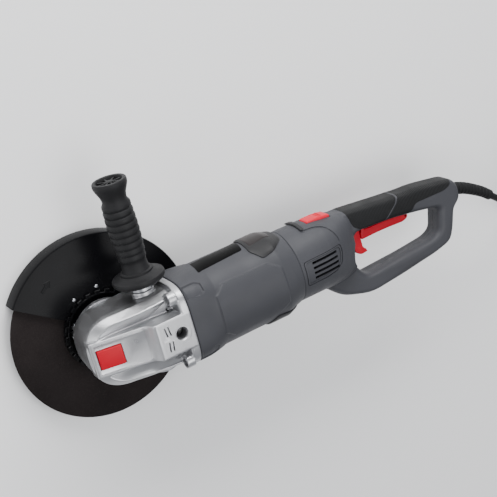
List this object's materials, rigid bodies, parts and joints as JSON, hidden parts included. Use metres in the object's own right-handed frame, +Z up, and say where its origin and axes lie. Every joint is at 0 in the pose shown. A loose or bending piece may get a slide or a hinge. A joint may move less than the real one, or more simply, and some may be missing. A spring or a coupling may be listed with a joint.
{
  "type": "angle grinder",
  "caption": "Large two-handed angle grinder with a cutting disc under a half-moon guard, cast gear head, side handle and a swivelling closed rear handle.",
  "frame": {"origin": "centre of the spindle's threaded end, the part's lowest point on the disc axis", "axes": "+Z up along the spindle axis, away from the disc; +X along the motor axis from the gear head to the rear handle; +Y towards the side handle"},
  "size_m": [0.8787, 0.3147, 0.1404],
  "materials": {
    "cast_aluminium": "bead-blasted die casting",
    "steel": "bright turned",
    "black_steel": "gloss black enamel",
    "copper": "enamelled copper, varnished",
    "grey_plastic": "fine-grained moulding",
    "black_plastic": "fine-grained moulding",
    "smoked_plastic": "glossy, smoked brown",
    "red_plastic": "semi-gloss",
    "black_rubber": "matt, ribbed",
    "abrasive": "resin-bonded grit, matt",
    "carbon": "sintered carbon"
  },
  "bodies": {
    "tool_body": {"gear_housing": "cast_aluminium", "bearing_cover": "cast_aluminium", "cover_screw_1": "steel", "cover_screw_2": "steel", "cover_screw_3": "steel", "cover_screw_4": "steel", "bearing_plate": "cast_aluminium", "spindle_bearing": "steel", "spindle_bush": "steel", "spindle_lock_spring": "steel", "front_bearing": "steel", "rear_bearing": "steel", "stator_core": "steel", "field_coil_upper": "copper", "field_coil_lower": "copper", "brush_holder_left": "black_plastic", "brush_holder_right": "black_plastic", "carbon_brush_left": "carbon", "carbon_brush_right": "carbon", "service_cover_left": "smoked_plastic", "service_cover_right": "smoked_plastic", "motor_housing": "grey_plastic", "flange_screw_1": "steel", "flange_screw_2": "steel", "flange_screw_3": "steel", "flange_screw_4": "steel", "side_handle_grip": "black_plastic", "side_handle_stud": "steel", "cord_run": "black_rubber", "cord_coil": "black_rubber", "cord_tie": "black_plastic", "plug": "black_rubber"},
    "spindle_set": {"spindle": "steel", "crown_gear": "steel", "inner_flange": "steel", "disc": "abrasive", "outer_nut": "steel"},
    "armature": {"armature_shaft": "steel", "pinion": "steel", "fan": "black_plastic", "armature_core": "steel", "armature_windings": "copper", "commutator": "copper"},
    "guard_set": {"guard": "black_steel", "guard_clamp_band": "steel", "guard_clamp_screw": "steel"},
    "spindle_lock": {"spindle_lock_button": "red_plastic", "spindle_lock_pin": "steel"},
    "rear_handle": {"handle_shell_upper": "grey_plastic", "handle_shell_lower": "grey_plastic", "grip_cover": "black_rubber", "swivel_lock_spring": "steel", "switch_body": "black_plastic", "handle_screw_1": "steel", "handle_screw_2": "steel", "handle_screw_3": "steel", "strain_relief": "black_rubber"},
    "swivel_lock": {"swivel_lock_button": "red_plastic"},
    "trigger": {"trigger": "red_plastic"},
    "lock_off": {"lock_off_lever": "red_plastic"}
  },
  "joints": [
    {"name": "spindle_spin", "type": "hinge", "parent": "tool_body", "child": "spindle_set", "pos_m": [0, 0, 0], "axis": [0, 0, 1], "continuous": true},
    {"name": "armature_spin", "type": "hinge", "parent": "tool_body", "child": "armature", "pos_m": [0, 0, 0.084], "axis": [1, 0, 0], "continuous": true},
    {"name": "guard_turn", "type": "hinge", "parent": "tool_body", "child": "guard_set", "pos_m": [0, 0, 0.02], "axis": [0, 0, 1], "range_deg": [-90, 90]},
    {"name": "spindle_lock_press", "type": "slide", "parent": "tool_body", "child": "spindle_lock", "axis": [0, 0, -1], "range_m": [0, 0.004], "stiffness_N_per_m": 800, "springref_m": -0.002, "deforming": ["spindle_lock_spring"]},
    {"name": "handle_swivel", "type": "hinge", "parent": "tool_body", "child": "rear_handle", "pos_m": [0.226, 0, 0.084], "axis": [1, 0, 0], "range_deg": [0, 180]},
    {"name": "swivel_lock_press", "type": "slide", "parent": "rear_handle", "child": "swivel_lock", "axis": [0, -1, 0], "range_m": [0, 0.003], "stiffness_N_per_m": 800, "springref_m": -0.002},
    {"name": "trigger_pull", "type": "hinge", "parent": "rear_handle", "child": "trigger", "pos_m": [0.408, -0.003, 0.084], "axis": [0, 0, -1], "range_deg": [0, 4.5], "stiffness_Nm_per_rad": 4, "springref_deg": -3.44},
    {"name": "lock_off_tilt", "type": "hinge", "parent": "trigger", "child": "lock_off", "pos_m": [0.332, 0.003, 0.084], "axis": [0, 0, -1], "range_deg": [0, 6], "stiffness_Nm_per_rad": 0.5, "springref_deg": -5.73}
  ],
  "couplings": [
    {"joint": "armature_spin", "follows": "spindle_spin", "ratio": 4}
  ]
}
